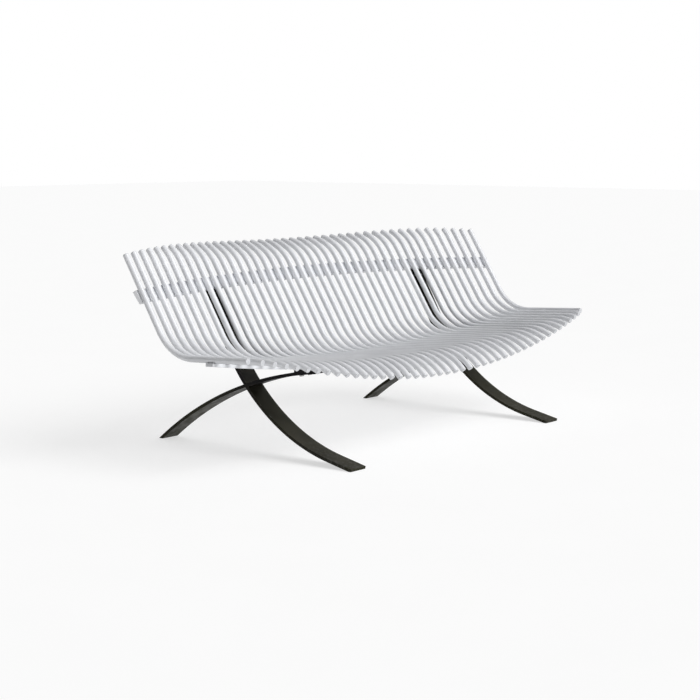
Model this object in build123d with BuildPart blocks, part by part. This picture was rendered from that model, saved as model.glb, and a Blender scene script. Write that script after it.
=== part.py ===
from build123d import *
from math import asin, cos, degrees, hypot, radians, sin, sqrt
import os

# Garden bench: 44 bent round tubes, the ribs, welded side by side onto two bowed flat bars, the rails.
# Two sets of legs carry the rails. In each set a long main leg runs from the back rail down to the
# front foot, and a second curved bar crosses it, from the rear foot up to its tip below the seat rail.
# Millimetres. X runs along the bench, the sitter faces -Y and +Z is up. The origin is on the floor,
# under the middle of the whole bench.
# Side views are drawn with "forward", the distance in front of the rear feet, and "up", the height
# above the floor.

# Overall
DEPTH = 976.0
REAR_EDGE_Y = DEPTH / 2

# Ribs
RIB_COUNT = 44
RIB_PITCH = 48.0
TUBE_RADIUS = 11.0
TUBE_WALL = 2.0
BEND_RADIUS = 180.0
BACK_ANGLE = 57.0
SEAT_ANGLE = 3.4
BACK_LENGTH = 414.0
SEAT_LENGTH_MIDDLE = 354.0
SEAT_LENGTH_END = 368.0
TOP_ROLL_ANGLE = 49.0
LIP_ANGLE = 52.0
LIP_FADE = 0.75
SMALLEST_BEND = 1.0

# Rails: the side view's middle point, and the arc that the bar is bowed to
RAIL_OVERHANG = 14.5
RAIL_EDGE = 1.5
BACK_RAIL_WIDTH = 50.0
BACK_RAIL_THICKNESS = 15.0
BACK_RAIL_FORWARD = 200.6
BACK_RAIL_UP = 619.0
BACK_RAIL_BOW_RADIUS = 4400.0
BACK_RAIL_BOW_ANGLE = -9.4
SEAT_RAIL_WIDTH = 40.0
SEAT_RAIL_THICKNESS = 12.0
SEAT_RAIL_FORWARD = 752.0
SEAT_RAIL_UP = 314.1
SEAT_RAIL_BOW_RADIUS = 5150.0
SEAT_RAIL_BOW_ANGLE = 133.5
WELD_GAP = 0.35

# Leg sets
LEG_SET_X = 618.0
BAR_WIDTH = 80.0
BAR_THICKNESS = 12.0
MAIN_LEG_ANGLE = 60.0
MAIN_LEG_RADIUS = 740.0
MAIN_LEG_TOP_GAP = 5.0
TOE_ANGLE = 12.0
TOE_FLAT = 10.0
STRUT_TIP_ANGLE = 7.2
STRUT_ANGLE_AT_RAIL = 10.0
REAR_LEG_RADIUS = 1619.0
REAR_LEG_END_ANGLE = 42.0
PACKER_LEAST = 0.5
BRACKET_PLATE = 8.0
BRACKET_TAIL = 50.0

# Bolts and plugs
BOLT_RADIUS = 5.0
BOLT_HEAD_RADIUS = 8.75
BOLT_HEAD_HEIGHT = 5.5
BOLT_SOCKET_WIDTH = 6.0
BOLT_LENGTH = 25.0
BOLT_SPACING = 44.0
SEAT_BOLT_GAP = 0.05  # a flat head meets the strut's slightly hollow underside at its edge only
CLEARANCE_RADIUS = 5.5
TAPPED_RADIUS = 5.05
PLUG_HEAD = 2.5
PLUG_SPIGOT = 6.0
PLUG_PLAY = 0.4


def angled(angle):
    """A direction of the side view, with its angle up from straight forward."""
    return Vector(cos(radians(angle)), sin(radians(angle)))


BACK_UP = angled(180 - BACK_ANGLE)
BACK_NORMAL = angled(90 - BACK_ANGLE)
SEAT_FORWARD = angled(SEAT_ANGLE)
SEAT_NORMAL = angled(90 + SEAT_ANGLE)
STRUT_NORMAL = angled(90 + STRUT_ANGLE_AT_RAIL)
END_RIB_X = RIB_PITCH * (RIB_COUNT - 1) / 2


def stand_up(side_view, x):
    """Turn a line drawn with forward and up as its axes into the side view at x."""
    side_plane = Plane(origin=(x, REAR_EDGE_Y, 0), x_dir=(0, -1, 0), z_dir=(-1, 0, 0))
    return side_view.moved(side_plane.location)


def world_direction(side):
    return Vector(0, -side.X, side.Y)


def world_point(x, side):
    return Vector(x, REAR_EDGE_Y - side.X, side.Y)


def face_plane(x, side, normal):
    """A plane at a point of the side view, with its own X along the bench."""
    return Plane(origin=world_point(x, side), x_dir=(1, 0, 0), z_dir=world_direction(normal))


def lines_meet(point_a, direction_a, point_b, direction_b):
    """Where two lines of the side view cross."""
    along = (point_b - point_a).cross(direction_b).Z / direction_a.cross(direction_b).Z
    return point_a + direction_a * along


class Rail:
    """A flat bar bowed to one arc, with its middle at x = 0 and the ribs on its front or top face."""

    def __init__(self, middle, bow_radius, bow_angle, width, thickness, width_direction, normal):
        self.middle = middle
        self.bow_radius = bow_radius
        self.bow = angled(bow_angle)
        self.width = width
        self.thickness = thickness
        self.width_direction = width_direction
        self.normal = normal
        bow_centre = world_point(0, middle + self.bow * bow_radius)
        self.axis = Axis(bow_centre, Vector(1, 0, 0).cross(world_direction(self.bow)))

    def centre(self, x):
        sagitta = self.bow_radius - sqrt(self.bow_radius**2 - x**2)
        return self.middle + self.bow * sagitta

    def face_slope(self, x):
        """How fast the faces move along their normal, per millimetre of x."""
        slope = abs(x) / sqrt(self.bow_radius**2 - x**2)
        return slope * abs(self.bow.dot(self.normal))

    def reach(self, x, distance):
        """Along the normal at x, what keeps a surface this far from the bar's middle layer."""
        return distance * hypot(1, self.face_slope(x))

    def leg_clearance(self):
        """Along the normal, what keeps a leg's flat face clear of the bar across the leg's width."""
        wedge = self.face_slope(LEG_SET_X) * BAR_WIDTH / 2
        return self.reach(LEG_SET_X, self.thickness / 2) + wedge

    def bar(self):
        half_turn = degrees(asin((END_RIB_X + RAIL_OVERHANG) / self.bow_radius))
        middle_plane = Plane(
            origin=world_point(0, self.middle),
            x_dir=world_direction(self.width_direction),
            z_dir=(1, 0, 0),
        )
        with BuildPart() as bar:
            with BuildSketch(middle_plane):
                RectangleRounded(self.width, self.thickness, RAIL_EDGE)
            revolve(axis=self.axis, revolution_arc=half_turn)
            mirror(about=Plane.YZ)
        return bar.part


BACK_RAIL = Rail(
    Vector(BACK_RAIL_FORWARD, BACK_RAIL_UP),
    BACK_RAIL_BOW_RADIUS,
    BACK_RAIL_BOW_ANGLE,
    BACK_RAIL_WIDTH,
    BACK_RAIL_THICKNESS,
    BACK_UP,
    BACK_NORMAL,
)
SEAT_RAIL = Rail(
    Vector(SEAT_RAIL_FORWARD, SEAT_RAIL_UP),
    SEAT_RAIL_BOW_RADIUS,
    SEAT_RAIL_BOW_ANGLE,
    SEAT_RAIL_WIDTH,
    SEAT_RAIL_THICKNESS,
    SEAT_FORWARD,
    SEAT_NORMAL,
)


def rib_corner(x):
    """Where a rib's back and seat would meet if it wasn't bent: the rib lies on both rails."""
    on_back, on_seat = (
        rail.centre(x) + rail.normal * rail.reach(x, rail.thickness / 2 + TUBE_RADIUS + WELD_GAP)
        for rail in (BACK_RAIL, SEAT_RAIL)
    )
    return lines_meet(on_back, BACK_UP, on_seat, SEAT_FORWARD)


def rib_path(x):
    """The centre line of a rib. Its top rolls back and its lip rolls down, most in the middle."""
    outward = (x / END_RIB_X) ** 2
    corner = rib_corner(x)
    back_end = corner + BACK_UP * BACK_LENGTH
    seat_length = SEAT_LENGTH_MIDDLE + (SEAT_LENGTH_END - SEAT_LENGTH_MIDDLE) * outward
    seat_end = corner + SEAT_FORWARD * seat_length
    roll = TOP_ROLL_ANGLE * (1 - outward)
    lip = LIP_ANGLE * (1 - outward) ** LIP_FADE
    with BuildLine() as path:
        FilletPolyline(back_end, corner, seat_end, radius=BEND_RADIUS)
        if roll > SMALLEST_BEND:
            JernArc(start=back_end, tangent=BACK_UP, radius=BEND_RADIUS, arc_size=roll)
        if lip > SMALLEST_BEND:
            JernArc(start=seat_end, tangent=SEAT_FORWARD, radius=BEND_RADIUS, arc_size=-lip)
    return stand_up(path.wire(), x)


def rib(path):
    with BuildPart() as tube:
        with BuildSketch(Plane(origin=path @ 0, z_dir=path % 0)):
            Circle(TUBE_RADIUS)
            Circle(TUBE_RADIUS - TUBE_WALL, mode=Mode.SUBTRACT)
        sweep(path=path)
    return tube.part


def rib_plugs(paths):
    """A rounded cap with a short spigot in both ends of every rib."""
    spigot_radius = TUBE_RADIUS - TUBE_WALL - PLUG_PLAY
    with BuildPart() as plug:
        Cylinder(TUBE_RADIUS, PLUG_HEAD, align=(Align.CENTER, Align.CENTER, Align.MIN))
        fillet(plug.edges().group_by(Axis.Z)[-1], PLUG_HEAD * 0.6)
        Cylinder(spigot_radius, PLUG_SPIGOT, align=(Align.CENTER, Align.CENTER, Align.MAX))
    ends = [Plane(origin=path @ 0, z_dir=-(path % 0)) for path in paths]
    ends += [Plane(origin=path @ 1, z_dir=path % 1) for path in paths]
    return copies(plug.part, ends)


def flat_bar(path):
    """A flat bar bent to a path that lies in a side view, and cut level with the floor."""
    with BuildPart() as bar:
        with BuildSketch(Plane(origin=path @ 0, x_dir=(1, 0, 0), z_dir=path % 0)):
            Rectangle(BAR_WIDTH, BAR_THICKNESS)
        sweep(path=path)
        split(bisect_by=Plane.XY, keep=Keep.TOP)
    return bar.part


def main_leg_path(x):
    """From below the back rail down behind the ribs, then one long bend to an almost flat toe."""
    at_rail = BACK_RAIL.centre(x)
    toe_rise = BAR_THICKNESS / 2 * cos(radians(TOE_ANGLE)) - TOE_FLAT * sin(radians(TOE_ANGLE))
    toe = Vector(DEPTH - BAR_THICKNESS / 2 * sin(radians(TOE_ANGLE)), toe_rise)
    downward = angled(-MAIN_LEG_ANGLE)
    knee = lines_meet(at_rail, downward, toe, angled(-TOE_ANGLE))
    top = at_rail + downward * (BACK_RAIL_WIDTH / 2 + MAIN_LEG_TOP_GAP)
    with BuildLine() as path:
        FilletPolyline(top, knee, toe, radius=MAIN_LEG_RADIUS)
    return stand_up(path.wire(), x)


def strut_drop():
    """From the seat rail's middle layer down to the middle of the bar that passes under it."""
    tilt = (SEAT_RAIL_WIDTH / 2) * sin(radians(STRUT_ANGLE_AT_RAIL - SEAT_ANGLE))
    return SEAT_RAIL.leg_clearance() + tilt + PACKER_LEAST + BAR_THICKNESS / 2


def crossing_path(x):
    """One arc from the tip under the seat rail back and down to the rear foot, and past it."""
    at_rail = SEAT_RAIL.centre(x) - STRUT_NORMAL * strut_drop()
    bend_centre = at_rail - STRUT_NORMAL * REAR_LEG_RADIUS
    tip, middle, foot = (
        bend_centre + angled(90 + slope) * REAR_LEG_RADIUS
        for slope in (STRUT_TIP_ANGLE, STRUT_ANGLE_AT_RAIL, REAR_LEG_END_ANGLE)
    )
    with BuildLine() as path:
        ThreePointArc(tip, middle, foot)
    return stand_up(path.wire(), x)


def bracket_bolts(x):
    """Planes on the back bracket's rear face: two bolts into the rail and two into the leg."""
    behind = BACK_NORMAL * -(BACK_RAIL.leg_clearance() + BRACKET_PLATE)
    into_leg = BACK_UP * -(BACK_RAIL_WIDTH / 2 + MAIN_LEG_TOP_GAP + BRACKET_TAIL / 2)
    return [
        face_plane(x + shift, BACK_RAIL.centre(x) + behind + along, BACK_NORMAL * -1)
        for along in (Vector(0, 0), into_leg)
        for shift in (-BOLT_SPACING / 2, BOLT_SPACING / 2)
    ]


def strut_bolts(x):
    """Planes on the strut's underside, for two bolts into the seat rail."""
    below = STRUT_NORMAL * -(strut_drop() + BAR_THICKNESS / 2 + SEAT_BOLT_GAP)
    return [
        face_plane(x + shift, SEAT_RAIL.centre(x) + below, STRUT_NORMAL * -1)
        for shift in (-BOLT_SPACING / 2, BOLT_SPACING / 2)
    ]


def back_bracket(x, back_rail, main_leg):
    """A plate behind the rail and the leg's top, with its inner face cut to fit them both."""
    depth = BACK_RAIL.leg_clearance() + BRACKET_PLATE
    below_rail = BACK_RAIL_WIDTH / 2 + MAIN_LEG_TOP_GAP + BRACKET_TAIL
    with BuildPart() as bracket:
        with BuildSketch(face_plane(x, BACK_RAIL.centre(x) - BACK_NORMAL * depth, BACK_NORMAL)):
            with Locations((0, -(below_rail - BACK_RAIL_WIDTH / 2) / 2)):
                RectangleRounded(BAR_WIDTH, below_rail + BACK_RAIL_WIDTH / 2, RAIL_EDGE * 4)
        extrude(amount=depth - BAR_THICKNESS / 2)
        add(back_rail, mode=Mode.SUBTRACT)
        add(main_leg, mode=Mode.SUBTRACT)
    return drilled(bracket.part, bracket_bolts(x), CLEARANCE_RADIUS)


def seat_packer(x, seat_rail, crossing_bar):
    """The tapered block between the seat rail's underside and the strut's top face."""
    with BuildPart() as block:
        with BuildSketch(face_plane(x, SEAT_RAIL.centre(x), SEAT_NORMAL * -1)):
            Rectangle(BAR_WIDTH, SEAT_RAIL_WIDTH - 4 * RAIL_EDGE)
        extrude(amount=strut_drop())
        add(seat_rail, mode=Mode.SUBTRACT)
        add(crossing_bar, mode=Mode.SUBTRACT)
    return drilled(block.part, strut_bolts(x), CLEARANCE_RADIUS)


def drilled(piece, bolt_planes, radius):
    """The piece with a hole at each bolt, as deep as a bolt is long."""
    with BuildPart() as result:
        add(piece)
        for plane in bolt_planes:
            with BuildSketch(plane):
                Circle(radius)
            extrude(amount=-BOLT_LENGTH, mode=Mode.SUBTRACT)
    return result.part


def bolt():
    """A domed socket-head bolt with its head's underside at z = 0."""
    with BuildPart() as piece:
        Cylinder(BOLT_HEAD_RADIUS, BOLT_HEAD_HEIGHT, align=(Align.CENTER, Align.CENTER, Align.MIN))
        fillet(piece.edges().group_by(Axis.Z)[-1], BOLT_HEAD_HEIGHT * 0.6)
        Cylinder(BOLT_RADIUS, BOLT_LENGTH, align=(Align.CENTER, Align.CENTER, Align.MAX))
        with BuildSketch(Plane.XY.offset(BOLT_HEAD_HEIGHT)):
            RegularPolygon(BOLT_SOCKET_WIDTH / 2, 6, major_radius=False)
        extrude(amount=-BOLT_HEAD_HEIGHT * 0.6, mode=Mode.SUBTRACT)
    return piece.part


def group(pieces):
    """Separate solids that share one node."""
    return Compound(children=[solid for piece in pieces for solid in piece.solids()])


def copies(piece, planes):
    return group([piece.moved(plane.location) for plane in planes])


def save(piece, name):
    piece.label = name
    export_step(piece, f"parts/{name}.step")


os.makedirs("parts", exist_ok=True)

rib_paths = [rib_path(RIB_PITCH * number - END_RIB_X) for number in range(RIB_COUNT)]
for number, path in enumerate(rib_paths, start=1):
    save(rib(path), f"rib_{number:02d}")
save(rib_plugs(rib_paths), "rib_end_plugs")

leg_places = {"left": -LEG_SET_X, "right": LEG_SET_X}
rail_bolts = [plane for x in leg_places.values() for plane in bracket_bolts(x)]
seat_bolts = [plane for x in leg_places.values() for plane in strut_bolts(x)]
save(copies(bolt(), rail_bolts + seat_bolts), "leg_bolts")

back_rail = BACK_RAIL.bar()
seat_rail = SEAT_RAIL.bar()
save(drilled(back_rail, rail_bolts, TAPPED_RADIUS), "back_rail")
save(drilled(seat_rail, seat_bolts, TAPPED_RADIUS), "seat_rail")

brackets = []
packers = []
for side, x in leg_places.items():
    main_leg = flat_bar(main_leg_path(x))
    crossing_bar = flat_bar(crossing_path(x))
    brackets.append(back_bracket(x, back_rail, main_leg))
    packers.append(seat_packer(x, seat_rail, crossing_bar))
    save(drilled(main_leg, bracket_bolts(x), TAPPED_RADIUS), f"{side}_main_leg")
    drilled_bar = drilled(crossing_bar, strut_bolts(x), CLEARANCE_RADIUS)
    seat_strut, rear_leg = (drilled_bar - main_leg).solids().sort_by(Axis.Y)
    save(seat_strut, f"{side}_seat_strut")
    save(rear_leg, f"{side}_rear_leg")
save(group(brackets), "back_brackets")
save(group(packers), "seat_packers")
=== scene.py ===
import bmesh
import bpy
from math import cos, hypot, pi, radians, sin, sqrt
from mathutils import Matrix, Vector
from random import Random


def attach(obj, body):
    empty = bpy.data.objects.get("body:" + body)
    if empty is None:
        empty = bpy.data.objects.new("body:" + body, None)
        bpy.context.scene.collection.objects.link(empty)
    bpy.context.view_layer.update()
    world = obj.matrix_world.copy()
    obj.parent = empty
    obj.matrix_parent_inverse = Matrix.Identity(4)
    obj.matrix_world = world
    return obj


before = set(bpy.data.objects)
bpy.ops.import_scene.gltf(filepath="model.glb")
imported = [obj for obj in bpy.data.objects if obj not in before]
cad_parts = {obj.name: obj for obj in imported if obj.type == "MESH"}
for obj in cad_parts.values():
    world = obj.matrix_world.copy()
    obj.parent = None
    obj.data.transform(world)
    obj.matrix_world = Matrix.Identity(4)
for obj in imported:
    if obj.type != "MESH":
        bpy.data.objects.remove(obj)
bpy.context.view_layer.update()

# A long garden bench: white tube ribs on two bowed white rails, and near-black crossed legs.
# Metres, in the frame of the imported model: X along the bench, the sitter faces -Y, +Z is up.

# The bench: the ribs, and the two bowed rails they are welded to. Angles are in degrees in the side view,
# up from straight forward. A rail's middle is the centre of its section at x = 0.
RIB_COUNT = 44
RIB_PITCH = 0.048
REAR_EDGE = 0.488
BACK_RAIL = {
    "middle": (0, REAR_EDGE - 0.2006, 0.619),
    "width": 0.050,
    "thickness": 0.015,
    "bow_radius": 4.4,
    "bow_angle": -9.4,
    "face_angle": 33,
    "rib_angle": 123,
}
SEAT_RAIL = {
    "middle": (0, REAR_EDGE - 0.752, 0.3141),
    "width": 0.040,
    "thickness": 0.012,
    "bow_radius": 5.15,
    "bow_angle": 133.5,
    "face_angle": 93.4,
    "rib_angle": 3.4,
}

# Weld beads: their radius, their place in the corner between tube and rail, their rings, sides and ripples,
# how blunt their ends are, the least share of the radius there, and how much they lean to the rail's face
BEAD_RADIUS = 0.0024
BEAD_OFFSET = 0.0062
BEAD_LIFT = 0.0008
BEAD_MARGIN = 0.006
BEAD_STEPS = 26
BEAD_SIDES = 8
BEAD_RIPPLES = 9
RIPPLE_DEPTH = 0.18
RIPPLE_UNEVEN = 0.05
END_BLUNTNESS = 6
LEAST_SHARE = 0.05
FACE_SHARE = 0.8

# How far the rails' sharp edges look rounded
EDGE_ROUNDING = 0.0008

# Camera: where it stands, where it looks, and how wide it sees
CAMERA_PLACE = Vector((-4.643, -3.864, 1.1315))
CAMERA_TURN = radians(40.31)
CAMERA_TILT = radians(7.656)
FOCAL_PIXELS = 1532.5
PICTURE_PIXELS = 700

# Colours, as linear light
RIB_WHITE = (0.770, 0.780, 0.806)
RIB_GREY = (0.635, 0.645, 0.672)
# The back rail's white, lighter than that of the ribs and the seat rail: painted light that offsets the
# shadow the ribs cast on it
BACK_RAIL_LIT_WHITE = (0.90, 0.91, 0.935)
BACK_RAIL_LIT_GREY = (0.79, 0.80, 0.825)
# Painted shade for what faces down on the white coat
UNDERSIDE_SHADE_GREY = (0.38, 0.385, 0.40)
SPECK_BROWN = (0.42, 0.40, 0.36)
# The legs' near-black, also used as painted shade up under the seat
LEG_BLACK = (0.0014, 0.0011, 0.0019)
LEG_OLIVE = (0.021, 0.0205, 0.0095)
# A lighter, browner tone for what faces up on the legs
LEG_TOP_TONE = (0.044, 0.041, 0.030)
LEG_SCUFF = (0.09, 0.085, 0.075)
BARE_METAL = (0.22, 0.21, 0.20)
PLUG_GREY = (0.61, 0.62, 0.645)
PLUG_SHADE = (0.52, 0.53, 0.55)
STEEL = (0.42, 0.42, 0.42)
TARNISH = (0.30, 0.28, 0.25)
FLOOR_WHITE = (0.46, 0.46, 0.46)
FLOOR_PALE = (0.44, 0.44, 0.44)
FLOOR_GLOW = 0.60
FLOOR_HALF = 30.0

# Light: a soft key from the front right, and white all round that fades towards the rear left
KEY_PLACE = (0.25, -0.90, 0.85)
KEY_STRENGTH = 2.35
KEY_SOFTNESS = 40
TOWARDS_LIGHT = (0.76, -0.65, 0.0)
DARK_BELOW = -0.8
BRIGHT_ABOVE = 0.2
DARK_STRENGTH = 0.0
BRIGHT_STRENGTH = 0.44
BACKDROP_STRENGTH = 1.0


# ---- material building blocks ----

class Shader:
    """A new material with its nodes: texture coordinates, one principled shader and its output."""

    def __init__(self, name, roughness, metallic=0.0):
        self.material = bpy.data.materials.new(name)
        self.material.use_nodes = True
        self.tree = self.material.node_tree
        self.tree.nodes.clear()
        self.surface = self.node("ShaderNodeBsdfPrincipled")
        self.surface.inputs["Roughness"].default_value = roughness
        self.surface.inputs["Metallic"].default_value = metallic
        output = self.node("ShaderNodeOutputMaterial")
        self.link(self.surface.outputs["BSDF"], output.inputs["Surface"])
        self.place = self.node("ShaderNodeTexCoord").outputs["Object"]

    def node(self, kind):
        return self.tree.nodes.new(kind)

    def link(self, start, end):
        self.tree.links.new(start, end)

    def noise(self, scale, detail=3.0, stretch=(1, 1, 1)):
        """Soft noise from 0 to 1. Scale is in features per metre."""
        mapping = self.node("ShaderNodeMapping")
        mapping.inputs["Scale"].default_value = stretch
        self.link(self.place, mapping.inputs["Vector"])
        texture = self.node("ShaderNodeTexNoise")
        texture.inputs["Scale"].default_value = scale
        texture.inputs["Detail"].default_value = detail
        self.link(mapping.outputs["Vector"], texture.inputs["Vector"])
        return texture.outputs["Fac"]

    def spread(self, value, low, high, to_low=0.0, to_high=1.0):
        """The value, stretched from low..high to to_low..to_high and cut off there."""
        ramp = self.node("ShaderNodeMapRange")
        ramp.inputs["From Min"].default_value = low
        ramp.inputs["From Max"].default_value = high
        ramp.inputs["To Min"].default_value = to_low
        ramp.inputs["To Max"].default_value = to_high
        self.link(value, ramp.inputs["Value"])
        return ramp.outputs["Result"]

    def times(self, value, other):
        product = self.node("ShaderNodeMath")
        product.operation = "MULTIPLY"
        self.link(value, product.inputs[0])
        self.link(other, product.inputs[1])
        return product.outputs["Value"]

    def mix(self, amount, first, second):
        """Colour from first to second. Each is a colour or another node's output."""
        blend = self.node("ShaderNodeMix")
        blend.data_type = "RGBA"
        self.link(amount, blend.inputs["Factor"])
        for socket, colour in (("A", first), ("B", second)):
            place = next(i for i in blend.inputs if i.name == socket and i.type == "RGBA")
            if isinstance(colour, tuple):
                place.default_value = (*colour, 1.0)
            else:
                self.link(colour, place)
        return next(o for o in blend.outputs if o.type == "RGBA")

    def edges(self, radius):
        """1 on the sharp edges and 0 on the faces, from how far a bevel turns the surface."""
        bevel = self.node("ShaderNodeBevel")
        bevel.inputs["Radius"].default_value = radius
        geometry = self.node("ShaderNodeNewGeometry")
        facing = self.node("ShaderNodeVectorMath")
        facing.operation = "DOT_PRODUCT"
        self.link(bevel.outputs["Normal"], facing.inputs[0])
        self.link(geometry.outputs["Normal"], facing.inputs[1])
        return self.spread(facing.outputs["Value"], 0.98, 0.80)

    def upward(self):
        """How far the surface faces up: 1 on top, 0 where it is upright, -1 on undersides."""
        geometry = self.node("ShaderNodeNewGeometry")
        split = self.node("ShaderNodeSeparateXYZ")
        self.link(geometry.outputs["Normal"], split.inputs["Vector"])
        return split.outputs["Z"]

    def facing_up(self):
        """1 where the surface faces up and 0 where it is upright or faces down."""
        return self.spread(self.upward(), 0.1, 0.9)

    def facing_down(self):
        """1 on undersides and 0 where the surface is upright or faces up."""
        return self.spread(self.upward(), 0.0, -0.8)

    def height(self):
        """How high the surface is above the floor, in metres."""
        split = self.node("ShaderNodeSeparateXYZ")
        self.link(self.place, split.inputs["Vector"])
        return split.outputs["Z"]

    def colour(self, value):
        self.link(value, self.surface.inputs["Base Color"])

    def roughness(self, value):
        self.link(value, self.surface.inputs["Roughness"])

    def bump(self, layers, rounding=0.0):
        """Stack bumps of (height, metres, strength), on edges rounded by this radius."""
        normal = None
        if rounding:
            bevel = self.node("ShaderNodeBevel")
            bevel.inputs["Radius"].default_value = rounding
            normal = bevel.outputs["Normal"]
        for height, distance, strength in layers:
            bump = self.node("ShaderNodeBump")
            bump.inputs["Distance"].default_value = distance
            bump.inputs["Strength"].default_value = strength
            self.link(height, bump.inputs["Height"])
            if normal:
                self.link(normal, bump.inputs["Normal"])
            normal = bump.outputs["Normal"]
        self.link(normal, self.surface.inputs["Normal"])


# ---- materials ----
# Noise scales are in features per metre. The last two numbers of a spread say how strong its effect gets.

def white_coat(name, white, grey, rounding):
    """White powder coat: orange peel, faint grey weathering in runs, a few fine specks of dirt, and painted
    shade that greys what faces down.
    """
    coat = Shader(name, roughness=0.38)
    weather = coat.spread(coat.noise(9.0, 5.0, (1.0, 1.0, 0.35)), 0.42, 0.78, 0.0, 0.55)
    specks = coat.spread(coat.noise(420.0, 2.0), 0.70, 0.76, 0.0, 0.35)
    # Painted shade: what faces down is greyed, patchily, to stand for the shade under the tubes
    underside_shade = coat.times(coat.facing_down(), coat.spread(coat.noise(16.0, 5.0), 0.30, 0.70, 0.35, 0.85))
    weathered = coat.mix(weather, white, grey)
    with_underside_shade = coat.mix(underside_shade, weathered, UNDERSIDE_SHADE_GREY)
    dirty = coat.mix(specks, with_underside_shade, SPECK_BROWN)
    coat.colour(dirty)
    coat.roughness(coat.spread(coat.noise(35.0, 4.0), 0.3, 0.7, 0.30, 0.46))
    peel = coat.noise(700.0, 1.0)
    waves = coat.noise(60.0, 2.0)
    coat.bump([(waves, 0.0003, 0.25), (peel, 0.00012, 0.5)], rounding)
    coat.surface.inputs["Coat Weight"].default_value = 0.15
    coat.surface.inputs["Coat Roughness"].default_value = 0.2
    return coat.material


def leg_coat():
    """Near-black coat with an olive cast lower down, and painted shade that keeps it black up under the
    seat. Lighter and browner on what faces up, worn edges, scuffs near the feet.
    """
    coat = Shader("leg_coat", roughness=0.45)
    coat.surface.inputs["Specular IOR Level"].default_value = 0.10
    # Painted shade: black above about 0.28 m, up under the seat where its shade falls, turning to the olive
    # tint below 0.18 m
    below_painted_seat_shade = coat.spread(coat.height(), 0.28, 0.18)
    cast = coat.times(below_painted_seat_shade, coat.spread(coat.noise(5.0, 4.0), 0.30, 0.65, 0.45, 1.0))
    # Lighter and browner on what faces up, patchily
    lighter_on_top = coat.times(coat.facing_up(), coat.spread(coat.noise(14.0, 6.0), 0.35, 0.75, 0.25, 1.0))
    worn = coat.times(coat.edges(0.0022), coat.spread(coat.noise(45.0, 6.0), 0.52, 0.66, 0.0, 0.8))
    low = coat.spread(coat.height(), 0.10, 0.0)
    scuffed = coat.times(low, coat.spread(coat.noise(90.0, 5.0, (1, 1, 0.5)), 0.5, 0.68, 0.0, 0.6))
    # Olive tint, with painted shade left black up under the seat
    painted = coat.mix(cast, LEG_BLACK, LEG_OLIVE)
    lightened_on_top = coat.mix(lighter_on_top, painted, LEG_TOP_TONE)
    scratched = coat.mix(scuffed, lightened_on_top, LEG_SCUFF)
    coat.colour(coat.mix(worn, scratched, BARE_METAL))
    coat.roughness(coat.spread(coat.noise(28.0, 5.0), 0.3, 0.7, 0.36, 0.6))
    coat.bump([(coat.noise(40.0, 2.0), 0.00025, 0.25), (coat.noise(900.0, 1.0), 0.0001, 0.6)], 0.0012)
    return coat.material


def plug_plastic():
    """Light grey moulded plastic, slightly mottled and matt."""
    plastic = Shader("plug_plastic", roughness=0.5)
    mottle = plastic.spread(plastic.noise(120.0, 3.0), 0.35, 0.7)
    plastic.colour(plastic.mix(mottle, PLUG_GREY, PLUG_SHADE))
    plastic.roughness(plastic.spread(plastic.noise(300.0, 2.0), 0.3, 0.7, 0.42, 0.6))
    plastic.bump([(plastic.noise(1500.0, 1.0), 0.00008, 0.5)])
    return plastic.material


def bolt_steel():
    """Stainless steel with fine turning marks and a little tarnish."""
    steel = Shader("bolt_steel", roughness=0.3, metallic=1.0)
    tarnish = steel.spread(steel.noise(220.0, 4.0), 0.4, 0.7)
    steel.colour(steel.mix(tarnish, STEEL, TARNISH))
    steel.roughness(steel.spread(steel.noise(400.0, 3.0), 0.3, 0.7, 0.24, 0.45))
    steel.bump([(steel.noise(1800.0, 2.0), 0.00005, 0.5)], 0.0004)
    return steel.material


def floor_paper():
    """A plain pale backdrop, lit a little from behind so that shadows stay faint."""
    paper = Shader("floor_paper", roughness=0.9)
    paper.colour(paper.mix(paper.noise(3.0, 2.0), FLOOR_WHITE, FLOOR_PALE))
    paper.surface.inputs["Specular IOR Level"].default_value = 0.0
    paper.surface.inputs["Emission Color"].default_value = (1.0, 1.0, 1.0, 1.0)
    paper.surface.inputs["Emission Strength"].default_value = FLOOR_GLOW
    return paper.material


def paint(node, material):
    """Give every material slot of a node the same material."""
    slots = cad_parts[node].material_slots
    for slot in slots:
        slot.link = "OBJECT"
        slot.material = material


# ---- the bench ----

rib_coat = white_coat("rib_coat", RIB_WHITE, RIB_GREY, 0.0)
for number in range(1, RIB_COUNT + 1):
    paint(f"rib_{number:02d}", rib_coat)

# The back rail gets a lighter white, painted light against the ribs' shadow; the seat rail has the ribs'
# white
paint("back_rail", white_coat("back_rail_lit_coat", BACK_RAIL_LIT_WHITE, BACK_RAIL_LIT_GREY, EDGE_ROUNDING))
paint("seat_rail", white_coat("seat_rail_coat", RIB_WHITE, RIB_GREY, EDGE_ROUNDING))

leg_material = leg_coat()
for side in ("left", "right"):
    for bar in ("main_leg", "rear_leg", "seat_strut"):
        paint(f"{side}_{bar}", leg_material)
paint("back_brackets", leg_material)
paint("seat_packers", leg_material)
paint("rib_end_plugs", plug_plastic())
paint("leg_bolts", bolt_steel())


# ---- weld beads ----

def side_direction(angle):
    """A direction in the side view, from its angle up from straight forward."""
    return Vector((0, -cos(radians(angle)), sin(radians(angle))))


def rail_point(rail, x, height):
    """A point at x on a rail, this far from the rail's middle layer towards the ribs."""
    bow = side_direction(rail["bow_angle"])
    face = side_direction(rail["face_angle"])
    depth = sqrt(rail["bow_radius"] ** 2 - x**2)
    slope = abs(x) / depth * abs(bow.dot(face))
    middle = Vector(rail["middle"]) + bow * (rail["bow_radius"] - depth)
    return Vector((x, 0, 0)) + middle + face * height * hypot(1, slope)


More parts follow.
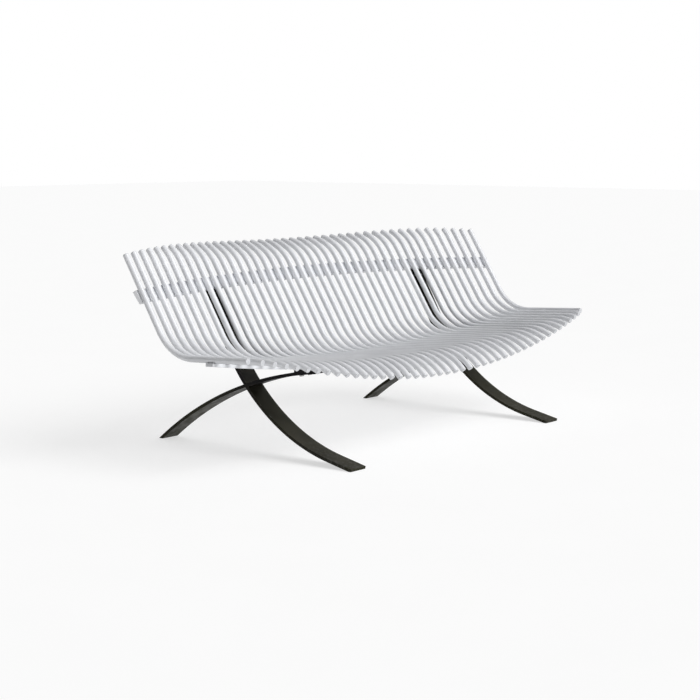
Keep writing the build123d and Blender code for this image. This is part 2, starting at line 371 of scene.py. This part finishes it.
def bead(mesh, start, end, outward, chance):
    """One weld bead from start to end: overlapping ripples, a little uneven, thin at both ends."""
    along = (end - start).normalized()
    across = along.cross(outward).normalized()
    rings = []
    for step in range(BEAD_STEPS + 1):
        share = step / BEAD_STEPS
        taper = sqrt(max(0.0, 1 - (2 * share - 1) ** END_BLUNTNESS))
        ripple = 1 - RIPPLE_DEPTH * (1 - abs(sin(share * pi * BEAD_RIPPLES)))
        ripple += chance.uniform(-RIPPLE_UNEVEN, RIPPLE_UNEVEN)
        radius = BEAD_RADIUS * max(taper * ripple, LEAST_SHARE)
        centre = start.lerp(end, share)
        ring = []
        for turn in range(BEAD_SIDES):
            angle = 2 * pi * turn / BEAD_SIDES
            offset = across * cos(angle) + outward * sin(angle)
            ring.append(mesh.verts.new(centre + offset * radius))
        rings.append(ring)
    for near, far in zip(rings, rings[1:]):
        for turn in range(BEAD_SIDES):
            after = (turn + 1) % BEAD_SIDES
            mesh.faces.new((near[turn], near[after], far[after], far[turn]))
    mesh.faces.new(list(reversed(rings[0])))
    mesh.faces.new(rings[-1])


def weld_piece(name, material, beads):
    """One piece made of many beads. Each is (start, end, outward)."""
    chance = Random(name)
    mesh = bmesh.new()
    for start, end, outward in beads:
        bead(mesh, start, end, outward, chance)
    bmesh.ops.recalc_face_normals(mesh, faces=mesh.faces)
    for face in mesh.faces:
        face.smooth = True
    data = bpy.data.meshes.new(name)
    mesh.to_mesh(data)
    mesh.free()
    data.materials.append(material)
    piece = bpy.data.objects.new(name, data)
    bpy.context.scene.collection.objects.link(piece)
    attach(piece, "root")


def rib_welds(rail):
    """Two short beads on each rib, in the corners between the tube and the rail's face."""
    face = side_direction(rail["face_angle"])
    reach = side_direction(rail["rib_angle"]) * (rail["width"] / 2 - BEAD_MARGIN)
    beads = []
    for number in range(RIB_COUNT):
        x = RIB_PITCH * (number - (RIB_COUNT - 1) / 2)
        touching = rail_point(rail, x, rail["thickness"] / 2)
        for side in (-1, 1):
            corner = touching + Vector((side * BEAD_OFFSET, 0, 0)) + face * BEAD_LIFT
            outward = (face * FACE_SHARE + Vector((side, 0, 0))).normalized()
            beads.append((corner - reach, corner + reach, outward))
    return beads


weld_piece("back_rail_welds", rib_coat, rib_welds(BACK_RAIL))
weld_piece("seat_rail_welds", rib_coat, rib_welds(SEAT_RAIL))


# ---- floor, light and camera ----

def floor():
    """A large pale floor with nothing on it."""
    corners = [(x * FLOOR_HALF, y * FLOOR_HALF, 0) for x, y in ((-1, -1), (1, -1), (1, 1), (-1, 1))]
    mesh = bpy.data.meshes.new("floor")
    mesh.from_pydata(corners, [], [(0, 1, 2, 3)])
    mesh.materials.append(floor_paper())
    plane = bpy.data.objects.new("floor", mesh)
    bpy.context.scene.collection.objects.link(plane)


def soft_sun(name, place, strength, softness):
    """Even light from one side, with soft shadows. It shines from a place towards the bench."""
    light = bpy.data.lights.new(name, "SUN")
    light.energy = strength
    light.angle = radians(softness)
    lamp = bpy.data.objects.new(name, light)
    lamp.rotation_euler = Vector(place).to_track_quat("Z", "Y").to_euler()
    bpy.context.scene.collection.objects.link(lamp)


def surroundings():
    """White light all round, weaker from the rear left, and the white backdrop that the camera sees."""
    world = bpy.data.worlds.new("studio")
    world.use_nodes = True
    tree = world.node_tree
    direction = tree.nodes.new("ShaderNodeTexCoord")
    across = tree.nodes.new("ShaderNodeVectorMath")
    across.operation = "DOT_PRODUCT"
    across.inputs[1].default_value = TOWARDS_LIGHT
    tree.links.new(direction.outputs["Generated"], across.inputs[0])
    side = tree.nodes.new("ShaderNodeMapRange")
    side.inputs["From Min"].default_value = DARK_BELOW
    side.inputs["From Max"].default_value = BRIGHT_ABOVE
    side.inputs["To Min"].default_value = DARK_STRENGTH
    side.inputs["To Max"].default_value = BRIGHT_STRENGTH
    tree.links.new(across.outputs["Value"], side.inputs["Value"])
    light = tree.nodes["Background"]
    light.inputs["Color"].default_value = (1.0, 1.0, 1.0, 1.0)
    tree.links.new(side.outputs["Result"], light.inputs["Strength"])
    backdrop = tree.nodes.new("ShaderNodeBackground")
    backdrop.inputs["Color"].default_value = (1.0, 1.0, 1.0, 1.0)
    backdrop.inputs["Strength"].default_value = BACKDROP_STRENGTH
    chosen = tree.nodes.new("ShaderNodeMixShader")
    ray = tree.nodes.new("ShaderNodeLightPath")
    tree.links.new(ray.outputs["Is Camera Ray"], chosen.inputs["Fac"])
    tree.links.new(light.outputs["Background"], chosen.inputs[1])
    tree.links.new(backdrop.outputs["Background"], chosen.inputs[2])
    tree.links.new(chosen.outputs["Shader"], tree.nodes["World Output"].inputs["Surface"])
    bpy.context.scene.world = world


def camera():
    """The camera, turned from the bench's length and tilted down, at the photograph's angle."""
    lens = bpy.data.cameras.new("camera")
    lens.sensor_width = 36.0
    lens.lens = FOCAL_PIXELS / PICTURE_PIXELS * lens.sensor_width
    eye = bpy.data.objects.new("camera", lens)
    eye.location = CAMERA_PLACE
    eye.rotation_euler = (pi / 2 - CAMERA_TILT, 0, CAMERA_TURN - pi / 2)
    bpy.context.scene.collection.objects.link(eye)
    bpy.context.scene.camera = eye


floor()
surroundings()
soft_sun("key", KEY_PLACE, KEY_STRENGTH, KEY_SOFTNESS)
camera()

bpy.context.scene.view_settings.view_transform = "Standard"
